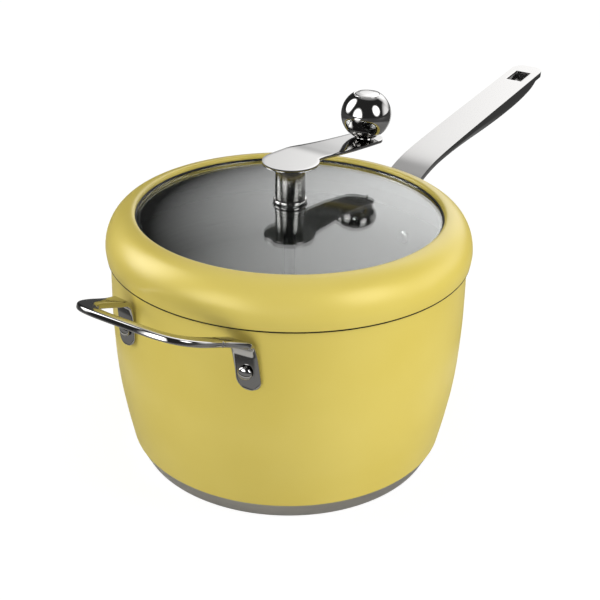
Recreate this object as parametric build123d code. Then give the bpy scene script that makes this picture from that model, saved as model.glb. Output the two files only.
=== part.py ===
from build123d import *
import math
import os

# Stovetop popcorn popper: a coated steel pot with a loop handle and a long handle, a domed glass lid
# in a coated ring, and a crank that turns a stirrer through the lid. Millimetres, +Z up, origin at
# the centre of the underside of the base, long handle toward +X.

# ---- pot -------------------------------------------------------------------------------------------
wall = 1.5                # steel wall of the pot
belly_radius = 120.0      # largest radius of the wall
belly_height = 110.3      # its height
rim_height = 148.4        # top of the wall
rim_draw_width = 0.6      # the wall draws in this much from its belly to its rim
foot_draw_width = 10.0    # and this much to its foot
# the wall's swell from foot to belly: share of the height and of the radius gained
wall_swell = [(0.164, 0.315), (0.274, 0.496), (0.411, 0.701), (0.589, 0.870), (0.795, 0.968)]
base_height = 12.7        # height of the bare steel band round the foot
base_flare_width = 6.3    # the band widens this much from the floor up
base_skin = 1.0           # steel skin under the aluminium core
core_height = 6.0         # aluminium core
core_margin = 5.7         # core's edge inside the foot's
corner_height = 2.3       # height of the pot's lower corner, before its wall turns up
corner_inset = 4.5        # how far the corner lies inside the band's edge

# ---- lid -------------------------------------------------------------------------------------------
lid_sheet = 1.2           # coated ring
seat_gap = 0.1            # pot rim to the lid's seat
lid_overhang = 2.3        # lower edge of the coated ring outside the pot's rim
lid_edge_drop = 3.0       # how far that edge hangs below the pot's rim
lid_bulge_width = 0.8     # the ring swells this much over its edge
lid_bulge_height = 3.3    # widest circle of the ring above the pot's rim
crown_width = 18.7        # from the widest circle in to the top circle
crown_height = 23.3       # and up to it
lip_width = 1.4           # from the top circle in to the mouth
lip_drop = 1.6            # height of the mouth's rounded lip
lip_middle = (0.35, 0.4)  # a point of the lip: out from the mouth, down from the top circle
lip_under = 1.0           # height of the lip's underside
ring_steps = 5            # points along the ring's quarter curve
mouth_depth = 9.0         # from the top circle down to the ledge that carries the glass
inner_sheet = 1.0         # steel inner ring
skirt_gap = 0.6           # inner ring's skirt to the pot's bore
skirt_length = 10.0
ledge_width = 5.8
seal_foot_height = 1.5    # seal under the glass edge
seal_reach = 2.6          # width of the seal's foot
seal_wall = 1.0           # seal between the glass edge and the ring
seal_lip_height = 0.4     # seal's edge over the glass edge
glass_thickness = 4.0
glass_drop = 7.5          # from the top of the dome to its edge
glass_bore_radius = 8.0

# ---- bearing in the lid ----------------------------------------------------------------------------
shaft_radius = 4.0
running_gap = 0.05
sleeve_wall = 1.5
bushing_wall = 2.0
collar_radius = 11.1
collar_height = 1.9
pad_radius = 10.6         # soft washer over the glass
pad_height = 0.6
under_pad_radius = 12.0   # soft washer under the glass
under_pad_height = 1.8
nut_flats = 20.0
nut_height = 4.0
bushing_tail = 0.6        # thread past the nut
sleeve_tail = 1.0         # sleeve past the bushing
thrust_height = 0.5
thrust_radius = 9.4
face_gap = 0.1            # flat running gap between fixed and turning faces

# ---- crank -----------------------------------------------------------------------------------------
crank_rest_angle = -1.0   # where the crank stands, measured from the long handle
crank_reach = 87.7        # crank axis to knob axis
hub_radius = 10.0
hub_height = 21.6
arm_thickness = 1.9
disc_radius = 18.8        # arm's disc over the hub
arm_half_width = 12.6
arm_drop = 7.2            # how far the arm has come down at the knob
arm_edge_round = 0.5
arm_neck = 8.0            # where the near edge leaves the disc
arm_neck_inset = 0.2      # and how far inside the disc's radius
arm_end_slope = -0.1      # the arm's slope past the knob
arm_profile = [(0.24, 0.03), (0.40, 0.28), (0.60, 0.57), (0.80, 0.80), (1.0, 1.0), (1.2, 1.17)]
hub_screw_radius = 2.0
hub_screw_height = 9.0    # above the hub's foot
shaft_top_depth = 4.0     # solid metal left over the shaft in the hub
clip_height = 0.8
clip_radius = 6.8
clip_groove = 0.5
clip_gap = 0.3

# ---- stirrer ---------------------------------------------------------------------------------------
stirrer_clearance = 1.4   # wire over the pot's floor
stirrer_wire_radius = 1.6
stirrer_reach = 94.0
stirrer_height = 14.0     # lower run to upper run
stirrer_tip_height = 3.0  # how much the upper run climbs to its tip
stirrer_bend = 5.0
stirrer_count = 2
stirrer_hub_radius = 8.5
stirrer_hub_height = 21.0
stirrer_hub_floor_gap = 1.2
stirrer_shaft_end = 3.0   # closed end of the stirrer's hub under the shaft
stirrer_screw_height = 11.0

# ---- knob ------------------------------------------------------------------------------------------
ball_radius = 17.6
ball_sheet = 1.6
ball_lift = 18.9          # ball centre over the arm
washer_radius = 10.4
washer_rim = 0.15         # thinnest edge of the washer, over the arm's slope
neck_radius = 6.6
neck_gap = 0.2            # neck over the washer
bush_wall = 1.9
bush_height = 20.0
spindle_head_radius = 5.6
spindle_head_height = 1.6
spindle_head_gap = 0.2
spindle_tail_radius = 3.0
cap_radius = 9.9
cap_thickness = 1.4
cap_crown = 1.3

# ---- loop handle -----------------------------------------------------------------------------------
loop_side = 180.0         # it stands opposite the long handle
loop_turn = 2.0           # and a little off its line
loop_foot_gap = 0.64      # its sloping top face starts this far inside the wall's line at the ears
loop_foot_depth = 8.4     # and this far below the pot's rim
loop_slope = 22.0         # the loop climbs away from the pot, degrees
loop_thickness = 4.0
loop_half_width = 47.2
loop_reach = 61.4         # length of the loop along its slope
loop_band = 10.0          # width of the band
loop_square = 4.3         # how square its end is: 2 is an ellipse
loop_points = 9           # points along a quarter of the loop's end
loop_shoulder = 24.0      # where the loop starts to widen into the ears
loop_shoulder_share = 0.3 # share of that widening reached halfway
loop_end_share = 1.3      # its end's curve starts this many shoulders out
loop_round = 1.5
ear_width = 15.6
ear_spacing = 90.8        # between the two ears' middles, at the loop's height
ear_thickness = 3.0
ear_length = 32.4         # from the loop's start down to the end of an ear
ear_fold = 2.3            # fold line of the ears, along the slope
ear_lean = 5.0            # the ears lean outward
ear_turn = 14.0           # and turn a little toward the wall's curve
ear_splay = 4.0           # and spread apart going down
ear_bend = 6.0            # inner radius of the fold
ear_tongue = 14.0         # how far an ear's own sheet runs into the loop
rivet_down = 22.0         # rivets' distance from the fold, along the ear
rivet_head_radius = 4.6
rivet_head_height = 2.3
rivet_shank_radius = 3.0
rivet_hole_gap = 0.1      # between a rivet's shank and its holes
rivet_hole_reach = 15.0   # a hole's cut reaches this far in and out of an ear's face
spacer_radius = 4.2       # shoulder between an ear and the wall
spacer_length = 3.6
rivet_inner_height = 1.6
rivet_inner_skirt = 1.9

# ---- long handle -----------------------------------------------------------------------------------
grip_length = 225.0
grip_half_width = 13.5
grip_root_half_width = 14.2
grip_rim = 4.5            # upright edge of the upper shell
grip_sheet = 1.4
grip_corner = 9.0
grip_gap = 18.0           # from the pot's belly to the start of the grip
grip_root_depth = 5.4     # start of the grip's top line below the pot's rim
# top line of the grip: share of its length and height from its start
grip_line_shape = [(0.0, 0.0), (0.04, 8.2), (0.098, 14.4), (0.187, 19.9), (0.364, 26.8), (0.676, 37.7),
                   (1.0, 49.0)]
keel_tuck = 2.5           # how far the lower shell reaches up inside the upper shell's edge
keel_points = 6           # points round a section of the lower shell
# lower shell: distance back from the grip's end, share of the grip's inner width, depth below its edge
keel_shape = [(211.0, 1.0, 5.5), (188.0, 1.0, 7.0), (158.0, 1.0, 8.2), (129.0, 1.0, 10.8),
              (100.0, 1.0, 13.8), (73.0, 1.0, 15.7), (45.0, 1.0, 16.4), (29.0, 1.0, 15.4),
              (17.0, 1.0, 13.0), (8.0, 0.88, 8.6), (3.0, 0.60, 4.0)]
slot_length = 19.5
slot_margin = 13.5        # from the slot to the grip's end
slot_half_width = 6.8
slot_corner = 1.6
slot_wall = 1.2
bracket_thickness = 3.0
bracket_half_angle = 14.5
bracket_depth = 17.4      # top of the bracket's flange below the pot's rim
bracket_height = 27.0
bracket_corner = 7.0
bracket_rivet_angle = 10.7
neck_half_width = 9.4
neck_root_half_width = 17.0
neck_length = 34.0        # how far the neck runs inside the grip
neck_bite = 0.8           # the neck is cut to lie against the inside of the grip
neck_drop = 3.4           # upright thickness of the neck
# neck's upper line before the grip: distance and height from the top of the flange at the belly
neck_shape = [(0.6, -5.0), (3.6, 0.3), (10.0, 5.6)]

far = 400.0               # longer than anything cut with it
halvings = 40             # steps of a search along a curve

# ---- places that follow from the sizes above -------------------------------------------------------
base_edge_radius = belly_radius - foot_draw_width
base_foot_radius = base_edge_radius - base_flare_width
core_radius = base_foot_radius - core_margin
rim_radius = belly_radius - rim_draw_width
floor_under = base_skin + core_height
floor_top = floor_under + wall
bore_radius = rim_radius - wall
seat_height = rim_height + seat_gap
lid_edge_radius = rim_radius + lid_overhang
lid_bulge_radius = lid_edge_radius + lid_bulge_width
lid_crest_radius = lid_bulge_radius - crown_width
lid_crest_height = rim_height + lid_bulge_height + crown_height
lid_mouth_radius = lid_crest_radius - lip_width
ledge_height = lid_crest_height - mouth_depth
glass_edge_radius = lid_mouth_radius - seal_wall
glass_edge_height = ledge_height + seal_foot_height + glass_thickness
glass_top = glass_edge_height + glass_drop
bushing_radius = shaft_radius + running_gap + sleeve_wall + bushing_wall
sleeve_radius = shaft_radius + running_gap + sleeve_wall
glass_dome = (glass_edge_radius ** 2 + glass_drop ** 2) / (2 * glass_drop)
glass_under = glass_top - glass_thickness
collar_foot = glass_top + pad_height
collar_top = collar_foot + collar_height
nut_top = glass_under - under_pad_height
bushing_foot = nut_top - nut_height - bushing_tail
sleeve_foot = bushing_foot - sleeve_tail
thrust_top = collar_top + thrust_height
hub_foot = thrust_top + face_gap
hub_top = hub_foot + hub_height
arm_top = hub_top + arm_thickness
shaft_top = hub_top - shaft_top_depth
arm_at_knob = arm_top - arm_drop
ball_height = arm_at_knob + ball_lift
washer_top = arm_at_knob + washer_radius * arm_drop / crank_reach + washer_rim
stirrer_hub_foot = floor_top + stirrer_hub_floor_gap
shaft_foot = stirrer_hub_foot + stirrer_shaft_end
wire_height = floor_top + stirrer_clearance + stirrer_wire_radius
ear_inner_edge = (ear_spacing - ear_width) / 2
loop_foot = math.sqrt(belly_radius ** 2 - ear_inner_edge ** 2) - loop_foot_gap
loop_foot_height = rim_height - loop_foot_depth
grip_start = belly_radius + grip_gap
grip_end = grip_start + grip_length
grip_line = [(grip_start + s * grip_length, rim_height - grip_root_depth + z) for s, z in grip_line_shape]
keel_sections = [(grip_end - x, share, depth) for x, share, depth in keel_shape]
slot_end = grip_end - slot_margin
slot_start = slot_end - slot_length
bracket_top = rim_height - bracket_depth
bracket_bottom = bracket_top - bracket_height
bracket_rivet_height = bracket_top - bracket_height / 2
neck_start = [(belly_radius + x, bracket_top + z) for x, z in neck_shape]
neck_end = grip_start + neck_length


def turned(line):
    """Solid of revolution about Z from a closed line of (radius, height) points."""
    return revolve(make_face(Plane.XZ * Polyline(*line, close=True)), Axis.Z)


def tube(outer, inner, foot, top):
    """Upright tube on Z, or a plain cylinder when inner is nothing."""
    body = Pos(0, 0, (foot + top) / 2) * Cylinder(outer, top - foot)
    return body - Pos(0, 0, (foot + top) / 2) * Cylinder(inner, top - foot) if inner else body


def at_knob(shape):
    return Rot(0, 0, crank_rest_angle) * Pos(crank_reach, 0, 0) * shape


def save(name, shape, color):
    solids = shape.solids()
    shape = solids[0] if len(solids) == 1 else Compound(children=list(solids))
    shape.label = name
    shape.color = Color(*color)
    export_step(shape, f"parts/{name}.step")


# ---- pot body --------------------------------------------------------------------------------------
def wall_points(inset):
    """Outside of the coated wall from the band up to the rim, moved inward by inset."""
    rise = belly_height - base_height
    swell = belly_radius - base_edge_radius
    middle = [(base_edge_radius + s * swell, base_height + h * rise) for h, s in wall_swell]
    top = [(belly_radius, belly_height), (rim_radius, rim_height)]
    return [(r - inset, h) for r, h in [(base_edge_radius, base_height), *middle, *top]]


def pot_solid(inset, foot, foot_radius):
    """Filled pot, used for the shell's outside and its cavity."""
    outer = Spline(*wall_points(inset))
    corner = (base_edge_radius - corner_inset - inset, foot + corner_height)
    line = [(0, rim_height), (0, foot), (foot_radius, foot), corner, wall_points(inset)[0]]
    rim = Line(wall_points(inset)[-1], line[0])
    return revolve(make_face(Plane.XZ * (Polyline(*line) + outer + rim)), Axis.Z)


def pot_outside(grow=0):
    return pot_solid(-grow, floor_under, base_foot_radius - corner_inset)


def pot_shell():
    cavity = pot_solid(wall, floor_top, base_foot_radius - corner_inset - wall)
    return pot_outside() - cavity - all_rivet_holes()


def base_core():
    return tube(core_radius, None, base_skin, floor_under)


def base_cap():
    line = [(0, 0), (base_foot_radius, 0), (base_edge_radius, base_height), (0, base_height)]
    return turned(line) - pot_outside() - base_core()


# ---- loop handle -----------------------------------------------------------------------------------
def dome_arc(radius, foot, rise):
    """Arc of a low dome, from its top on Z to its edge; its centre lies on Z."""
    ball = (radius ** 2 + rise ** 2) / (2 * abs(rise))
    half = math.asin(radius / ball) / 2
    middle = rise - math.copysign(ball * (1 - math.cos(half)), rise)
    return ThreePointArc((0, foot + rise), (ball * math.sin(half), foot + middle), (radius, foot))


def rivet(gap, flange):
    """Rivet along Z with its head on Z 0: dome, shank, spacer, inner head and its dome."""
    inner = -flange - gap - wall / 2
    back = inner - rivet_inner_skirt
    dome = dome_arc(rivet_head_radius, 0, rivet_head_height)
    inner_dome = dome_arc(rivet_head_radius, back, -rivet_inner_height)
    spacer = [(rivet_shank_radius, -flange), (spacer_radius, -flange)] if gap else []
    inner_radius = spacer_radius if gap else rivet_shank_radius
    steps = Polyline((rivet_head_radius, 0), (rivet_shank_radius, 0), *spacer, (inner_radius, inner),
                     (rivet_head_radius, inner), (rivet_head_radius, back))
    axis = Line((0, back - rivet_inner_height), (0, rivet_head_height))
    return revolve(make_face(Plane.XZ * (dome + steps + inner_dome + axis)), Axis.Z)


def rivet_hole():
    return Cylinder(rivet_shank_radius + rivet_hole_gap, 2 * rivet_hole_reach)


def loop_directions(side):
    """Directions of one ear's sheet: outward in the loop's plane, the plane's normal, the fold line."""
    slope = math.radians(loop_slope)
    turn = math.radians(ear_turn)
    along = Vector(math.cos(slope), 0, math.sin(slope))
    across = Vector(0, side, 0)
    normal = Vector(-math.sin(slope), 0, math.cos(slope))
    return along * math.cos(turn) + across * math.sin(turn), normal, along


def ear_plane(side):
    """Plane that an ear's side profile is drawn in: x outward, y off the loop's top face."""
    outward, normal, along = loop_directions(side)
    fold = Vector(loop_foot, side * ear_spacing / 2, loop_foot_height) + along * ear_fold
    return Plane(origin=fold, x_dir=outward, z_dir=outward.cross(normal))


def ear_down():
    """Direction of an ear from its fold downward, in its own plane."""
    lean = math.radians(loop_slope + ear_lean)
    return Vector(-math.sin(lean), -math.cos(lean))


def ear_profile():
    """Bent strip: down the ear, round the fold and out into the loop."""
    down = ear_down()
    side = Vector(-down.Y, down.X)
    length = loop_foot_height
    outer = [down * length, Vector(0, 0), Vector(ear_tongue, 0)]
    # the inner corner lies on the loop's underside and on the ear's outer face
    shift = (-loop_thickness - ear_thickness * side.Y) / down.Y
    corner = side * ear_thickness + down * shift
    inner = [Vector(ear_tongue, -loop_thickness), corner, side * ear_thickness + down * length]
    upper = FilletPolyline(*outer, radius=ear_bend + ear_thickness)
    lower = FilletPolyline(*inner, radius=ear_bend)
    return make_face(upper + Line(outer[-1], inner[0]) + lower + Line(inner[-1], outer[0]))


def loop_ear(side):
    slab = extrude(ear_plane(side) * ear_profile(), ear_width, both=True)
    sheet = Pos(0, far / 2 - ear_length) * RectangleRounded(ear_width, far, ear_width / 2 - loop_round)
    root = Pos(0, side * ear_spacing / 2, loop_foot_height) * Rot(side * ear_splay, 0, 0)
    return slab & extrude(root * (Plane.YZ * sheet), far)


def loop_outline(inset, root):
    """Closed outline of the loop seen square on, x outward: a squared ellipse that widens at its foot."""
    half = loop_half_width - inset
    reach = loop_reach - inset
    start = ear_bend
    between = half + (root - half) * loop_shoulder_share
    shoulder = [(start, root), ((start + loop_shoulder) / 2, between), (loop_shoulder, half)]
    end = []
    for i in range(1, loop_points):
        a = math.pi / 2 * i / loop_points
        x = reach * math.sin(a) ** (2 / loop_square)
        if x > loop_shoulder * loop_end_share:
            end.append((x, half * math.cos(a) ** (2 / loop_square)))
    return [*shoulder, *end, (reach, 0)]


def loop_blank(inset, root):
    half = loop_outline(inset, root)
    other = [(x, -y) for x, y in reversed(half[:-1])]
    line = [*half, *other]
    return make_face(Spline(*line) + Line(line[-1], line[0]))


def loop_band_solid():
    slope = math.radians(loop_slope)
    plane = Plane(origin=(loop_foot, 0, loop_foot_height), x_dir=(math.cos(slope), 0, math.sin(slope)),
                  z_dir=(-math.sin(slope), 0, math.cos(slope)))
    outer_root = (ear_spacing + ear_width) / 2
    outer = loop_blank(0, outer_root)
    inner = loop_blank(loop_band, outer_root - ear_width)
    return extrude(plane * outer, -loop_thickness) - extrude(plane * inner, -loop_thickness)


def place_loop(shape):
    return Rot(0, 0, loop_side + loop_turn) * shape


def loop_rivet_place(side):
    """Plane on the middle of an ear's outer face at its rivet, its normal pointing outward."""
    plane = ear_plane(side)
    down = ear_down()
    face = Vector(-down.Y, down.X)
    spot = down * rivet_down + face * ear_thickness
    origin = plane.from_local_coords(spot)
    normal = plane.from_local_coords(spot + face) - origin
    spread = (loop_foot_height - origin.Z) * math.tan(math.radians(ear_splay))
    aside = (side * (ear_spacing / 2 + spread) - origin.Y) / plane.z_dir.Y
    return Plane(origin=origin + plane.z_dir * aside, z_dir=normal)


def helper_handle():
    ears = loop_ear(-1) + loop_ear(1)
    return place_loop(loop_band_solid() + ears) - loop_rivet_holes()


def loop_rivet_holes():
    return [place_loop(loop_rivet_place(side) * rivet_hole()) for side in (-1, 1)]


def helper_handle_rivets():
    shape = rivet(spacer_length, ear_thickness)
    rivets = [place_loop(loop_rivet_place(side) * shape) - pot_shell() for side in (-1, 1)]
    return Compound(children=rivets)


# ---- long handle -----------------------------------------------------------------------------------
def grip_height(x):
    """Height of the grip's top line at a distance from the axis."""
    for (xa, za), (xb, zb) in zip(grip_line, grip_line[1:]):
        if x <= xb:
            return za + (zb - za) * (x - xa) / (xb - xa)
    return grip_line[-1][1]


def grip_half(x):
    first = grip_line[0][0]
    return grip_root_half_width + (grip_half_width - grip_root_half_width) * (x - first) / (grip_end - first)


def grip_plan(inset):
    """The grip seen from above, with a rounded end."""
    first = grip_line[0][0]
    end = grip_end - inset
    root = grip_half(first) - inset
    half = grip_half(end) - inset
    line = [(first, -root), (end, -half), (end, half), (first, root)]
    plan = make_face(Polyline(*line, close=True))
    return fillet(plan.vertices().sort_by(Axis.X)[-2:], grip_corner - inset)


def grip_band(top, bottom):
    """Upright slab between the grip's top line lowered by top and by bottom."""
    upper = [(x, z - top) for x, z in grip_line]
    lower = [(x, z - bottom) for x, z in grip_line]
    ends = Line(upper[-1], lower[-1]) + Line(lower[0], upper[0])
    face = make_face(Plane.XZ * (Spline(*upper) + Spline(*lower) + ends))
    return extrude(face, grip_root_half_width * 2, both=True)


def slot_cut(grow):
    width = 2 * (slot_half_width + grow)
    plan = RectangleRounded(slot_end - slot_start + 2 * grow, width, slot_corner + grow)
    return Pos((slot_start + slot_end) / 2, 0, 0) * extrude(plan, far)


def long_handle_top():
    outside = extrude(grip_plan(0), far) & grip_band(0, grip_rim)
    hollow = extrude(grip_plan(grip_sheet), far) & grip_band(grip_sheet, grip_rim + far / 4)
    return outside - hollow - slot_cut(0)


def keel_section(section, inset):
    """Half oval under the grip, with upright sides above it that tuck inside the grip's edge."""
    x, share, depth = section
    half = (grip_half(x) - grip_sheet) * share - inset
    deep = depth - inset
    turns = [math.pi * i / keel_points for i in range(keel_points + 1)]
    curve = [(half * math.cos(a), -deep * math.sin(a)) for a in turns]
    sides = Polyline((-half, 0), (-half, keel_tuck), (half, keel_tuck), (half, 0))
    face = make_face(Spline(*curve, tangents=((0, -1), (0, 1))) + sides)
    return Plane(origin=(x, 0, grip_height(x) - grip_rim), x_dir=(0, 1, 0), z_dir=(1, 0, 0)) * face


def long_handle_underside():
    outside = loft([keel_section(section, 0) for section in keel_sections], ruled=True)
    hollow = loft([keel_section(section, grip_sheet) for section in keel_sections[:-1]], ruled=True)
    return outside - (hollow - slot_cut(slot_wall)) - slot_cut(0)


def bracket_flange():
    """Plate that follows the pot's wall."""
    half = belly_radius * math.sin(math.radians(bracket_half_angle))
    middle = (bracket_bottom + bracket_top) / 2
    cheek = Pos(0, 0, middle) * (Plane.YZ * RectangleRounded(2 * half, bracket_height, bracket_corner))
    return pot_outside(bracket_thickness) & extrude(cheek, far)


def bracket_neck():
    """Folded strip from the flange up into the hollow grip."""
    inside = [(x, z - grip_sheet + neck_bite) for x, z in grip_line if x < neck_end]
    upper = [*neck_start, *inside, (neck_end, grip_height(neck_end) - grip_sheet + neck_bite)]
    lower = [(x, z - neck_drop) for x, z in upper]
    ends = Line(upper[-1], lower[-1]) + Line(lower[0], upper[0])
    strip = extrude(make_face(Plane.XZ * (Spline(*upper) + Spline(*lower) + ends)), far / 2, both=True)
    first = neck_start[0][0]
    knee = neck_start[-1][0]
    line = [(first, -neck_root_half_width), (knee, -neck_half_width), (neck_end, -neck_half_width)]
    plan = make_face(Polyline(*line, *[(x, -y) for x, y in reversed(line)], close=True))
    return strip & extrude(plan, far)


def long_handle_bracket():
    sheet = bracket_flange() + bracket_neck() - pot_outside()
    return sheet - bracket_rivet_holes() - long_handle_top()


def wall_radius(height):
    """Outside radius of the pot's wall at a height."""
    line = Spline(*wall_points(0))
    low, high = 0.0, 1.0
    for _ in range(halvings):
        middle = (low + high) / 2
        low, high = (middle, high) if (line @ middle).Y < height else (low, middle)
    return (line @ low).X


def bracket_rivet_place(side):
    turn = Rot(0, 0, side * bracket_rivet_angle)
    seat = wall_radius(bracket_rivet_height) + bracket_thickness
    return turn * Pos(seat, 0, bracket_rivet_height) * Rot(0, 90, 0)


def bracket_rivet_holes():
    return [bracket_rivet_place(side) * rivet_hole() for side in (-1, 1)]


def long_handle_rivets():
    shape = rivet(0, bracket_thickness)
    rivets = [bracket_rivet_place(side) * shape - pot_shell() for side in (-1, 1)]
    return Compound(children=rivets)


def all_rivet_holes():
    return loop_rivet_holes() + bracket_rivet_holes()


# ---- lid -------------------------------------------------------------------------------------------
def ring_curve(inset):
    """Outside of the coated ring, lower edge to crest, moved inward by inset."""
    low = rim_height + lid_bulge_height
    across = lid_bulge_radius - lid_crest_radius
    high = lid_crest_height - low
    points = [(lid_edge_radius - inset, rim_height - lid_edge_drop)]
    for i in range(ring_steps + 1):
        a = math.pi / 2 * i / ring_steps
        normal = Vector(high * math.cos(a), across * math.sin(a)).normalized()
        points.append((lid_crest_radius + across * math.cos(a) - inset * normal.X,
                       low + high * math.sin(a) - inset * normal.Y))
    return points


def lid_rim():
    outer = ring_curve(0)
    inner = ring_curve(lid_sheet)
    mouth = lid_mouth_radius
    crest = outer[-1]
    inner_crest = inner[-1]
    lip_foot = (mouth, crest[1] - lip_drop)
    under = (mouth + lid_sheet, inner_crest[1] - lip_under)
    lip = ThreePointArc(crest, (mouth + lip_middle[0], crest[1] - lip_middle[1]), lip_foot)
    inner_lip = Line(under, inner_crest)
    wall_line = Polyline(lip_foot, (mouth, ledge_height), (mouth + lid_sheet, ledge_height), under)
    face = make_face(Plane.XZ * (Spline(*outer) + lip + wall_line + inner_lip + Spline(*inner)
                                 + Line(inner[0], outer[0])))
    return revolve(face, Axis.Z)


def lid_inner_ring():
    t = inner_sheet
    skirt = bore_radius - skirt_gap
    ledge_out = lid_mouth_radius + lid_sheet + t
    ledge_in = ledge_out - ledge_width
    line = [(skirt - t, seat_height - skirt_length), (skirt, seat_height - skirt_length),
            (skirt, seat_height), (lid_bulge_radius - lid_sheet / 2, seat_height),
            (lid_bulge_radius - lid_sheet / 2, seat_height + t), (skirt, seat_height + t),
            (ledge_out + t, ledge_height - t), (ledge_out, ledge_height), (ledge_in, ledge_height),
            (ledge_in, ledge_height - t), (ledge_out - t / 2, ledge_height - t), (skirt - t, seat_height)]
    return turned(line) - lid_rim()


def dome(top, outer_radius):
    """Part of a big sphere whose top is at a height, cut to a radius."""
    ball = Pos(0, 0, top - glass_dome) * Sphere(glass_dome)
    return ball & tube(outer_radius, None, ledge_height, glass_top + glass_thickness)


def glass_pane():
    disc = dome(glass_top, glass_edge_radius)
    hollow = Pos(0, 0, glass_under - glass_dome) * Sphere(glass_dome)
    return disc - hollow - tube(glass_bore_radius, None, ledge_height, glass_top + glass_thickness)


def glass_gasket():
    foot = tube(glass_edge_radius, glass_edge_radius - seal_reach, ledge_height, glass_edge_height)
    edge = tube(lid_mouth_radius, glass_edge_radius, ledge_height, glass_edge_height + seal_lip_height)
    over_glass = Pos(0, 0, glass_under - glass_dome) * Sphere(glass_dome)
    return (foot & over_glass) + edge


def upper_washer():
    return tube(pad_radius, bushing_radius, glass_top - pad_height, collar_foot) - glass_pane()


def lower_washer():
    return tube(under_pad_radius, bushing_radius, nut_top, glass_under) - glass_pane()


def shaft_bushing():
    body = tube(bushing_radius, sleeve_radius, bushing_foot, collar_top)
    collar = tube(collar_radius, bushing_radius, collar_foot, collar_top)
    return body + collar


def bushing_nut():
    flats = RegularPolygon(nut_flats / 2, 6, major_radius=False)
    hexagon = Pos(0, 0, nut_top - nut_height) * extrude(flats, nut_height)
    return hexagon - tube(bushing_radius, None, nut_top - nut_height, nut_top)


def bearing_sleeve():
    return tube(sleeve_radius, shaft_radius + running_gap, sleeve_foot, collar_top)


def thrust_washer():
    return tube(thrust_radius, shaft_radius + running_gap, collar_top, thrust_top)


# ---- crank -----------------------------------------------------------------------------------------
def crank_turn(shape):
    return Rot(0, 0, crank_rest_angle) * shape


def arm_plan():
    """Disc over the hub, a tongue to the knob with a rounded end, and its tapering far side."""
    disc = Circle(disc_radius)
    end = Pos(crank_reach, 0) * Circle(arm_half_width)
    tongue = Pos(crank_reach / 2, 0) * Rectangle(crank_reach, 2 * arm_half_width)
    taper = make_face(Polyline((0, 0), (0, disc_radius), (arm_neck, disc_radius - arm_neck_inset),
                               (crank_reach, arm_half_width), (crank_reach, 0), close=True))
    return disc + end + tongue + taper


def arm_slab():
    top = [(crank_reach * s, arm_top - arm_drop * d) for s, d in arm_profile]
    upper = [(-disc_radius - arm_half_width, arm_top), (disc_radius, arm_top)]
    lower = [(x, z - arm_thickness) for x, z in upper]
    below = [(x, z - arm_thickness) for x, z in top]
    ends = ((1, 0), (1, arm_end_slope))
    over = Line(*upper) + Spline(upper[-1], *top, tangents=ends) + Line(top[-1], below[-1])
    under = Spline(lower[-1], *below, tangents=ends) + Line(*lower) + Line(upper[0], lower[0])
    return extrude(make_face(Plane.XZ * (over + under)), 2 * disc_radius, both=True)


def crank_arm():
    plate = extrude(arm_plan(), far) & arm_slab()
    hole = Pos(crank_reach, 0, arm_at_knob) * Cylinder(spindle_tail_radius, 4 * arm_thickness)
    return crank_turn(plate - hole)


def crank_hub():
    post = tube(hub_radius, None, hub_foot, hub_top)
    screw_hole = Pos(0, hub_radius / 2, hub_foot + hub_screw_height) * Rot(90, 0, 0) * Cylinder(
        hub_screw_radius, hub_radius)
    return crank_turn(post - tube(shaft_radius, None, hub_foot, shaft_top) - screw_hole)


def grub_screw(outer, height):
    length = outer - shaft_radius
    screw = Rot(90, 0, 0) * Cylinder(hub_screw_radius, length)
    return Pos(0, shaft_radius + length / 2, height) * screw


def hub_set_screw():
    screw = grub_screw(hub_radius - arm_edge_round, hub_foot + hub_screw_height)
    return crank_turn(screw - tube(shaft_radius, None, hub_foot, shaft_top))


def drive_shaft():
    rod = tube(shaft_radius, None, shaft_foot, shaft_top)
    groove = tube(shaft_radius, shaft_radius - clip_groove, sleeve_foot - clip_gap - clip_height,
                  sleeve_foot - clip_gap)
    return rod - groove


def shaft_clip():
    return tube(clip_radius, shaft_radius - clip_groove, sleeve_foot - clip_gap - clip_height,
                sleeve_foot - clip_gap)


# ---- stirrer ---------------------------------------------------------------------------------------
def stirrer_hub():
    post = tube(stirrer_hub_radius, None, stirrer_hub_foot, stirrer_hub_foot + stirrer_hub_height)
    screw_height = shaft_foot + stirrer_screw_height
    screw_hole = Pos(0, stirrer_hub_radius / 2, screw_height) * Rot(90, 0, 0) * Cylinder(
        hub_screw_radius, stirrer_hub_radius)
    post = post - tube(shaft_radius, None, shaft_foot, shaft_foot + stirrer_hub_height) - screw_hole
    return crank_turn(post) - stirrer_wires()


def stirrer_set_screw():
    screw = grub_screw(stirrer_hub_radius - arm_edge_round, shaft_foot + stirrer_screw_height)
    return crank_turn(screw - tube(shaft_radius, None, shaft_foot, shaft_top))


def stirrer_loop():
    """One bent wire: out over the floor, up, and back to the hub a little higher."""
    root = shaft_radius + stirrer_wire_radius
    low = wire_height
    high = wire_height + stirrer_height
    tip = (stirrer_reach, 0, high + stirrer_tip_height)
    path = FilletPolyline((root, 0, low), (stirrer_reach, 0, low), tip, (root, 0, high), radius=stirrer_bend)
    start = Plane(origin=(root, 0, low), z_dir=(1, 0, 0))
    return sweep(start * Circle(stirrer_wire_radius), path)


def stirrer_wires():
    loops = [Rot(0, 0, 360 / stirrer_count * i) * stirrer_loop() for i in range(stirrer_count)]
    return crank_turn(Compound(children=loops))


# ---- knob ------------------------------------------------------------------------------------------
def knob_washer():
    return at_knob(tube(washer_radius, shaft_radius, arm_at_knob, washer_top) - arm_relief())


def arm_relief():
    """The arm, moved to the knob's own place, so that the washer seats on its slope."""
    return Pos(-crank_reach, 0, 0) * Rot(0, 0, -crank_rest_angle) * crank_arm()


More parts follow.
